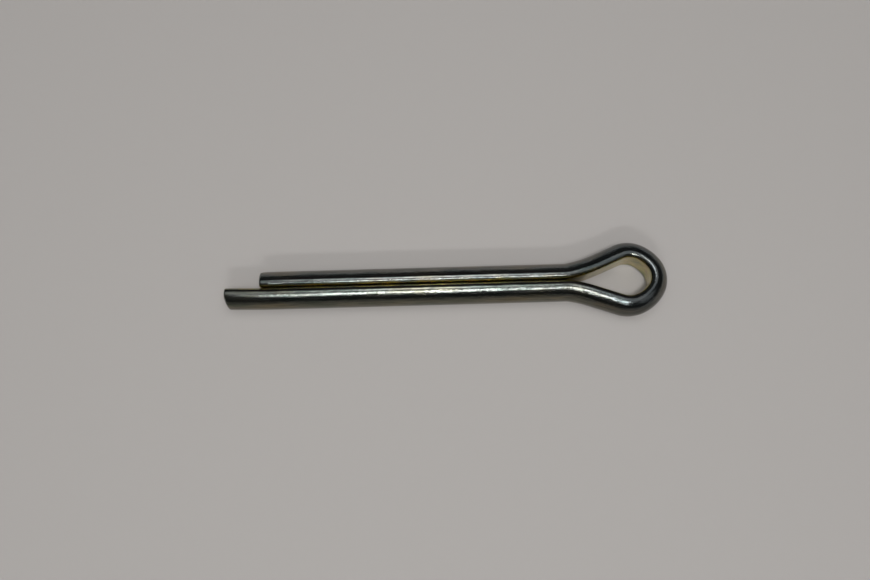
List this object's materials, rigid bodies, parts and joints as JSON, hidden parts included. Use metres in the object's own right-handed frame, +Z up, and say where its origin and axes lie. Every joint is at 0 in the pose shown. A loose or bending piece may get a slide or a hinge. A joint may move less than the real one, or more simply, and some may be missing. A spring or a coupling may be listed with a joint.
{
  "type": "cotter pin",
  "caption": "Split cotter pin folded from half-round zinc-plated steel wire, with a round eye, a longer and a shorter prong, for locking a pin or castle nut in a cross hole.",
  "frame": {"origin": "on the shank's axis, at the root of the eye where the prongs begin to part", "axes": "-X along the shank towards the prongs' ends, Y across the split, +Z up out of the surface that the pin lies on; the pin is a mirror image of itself above and below Z = 0"},
  "size_m": [0.043, 0.0073, 0.0034],
  "materials": {
    "zinc_plate": "bright zinc plate over drawn steel wire, with a thin yellow-iridescent passivation"
  },
  "bodies": {
    "root": {"cotter_pin": "zinc_plate"}
  },
  "joints": []
}
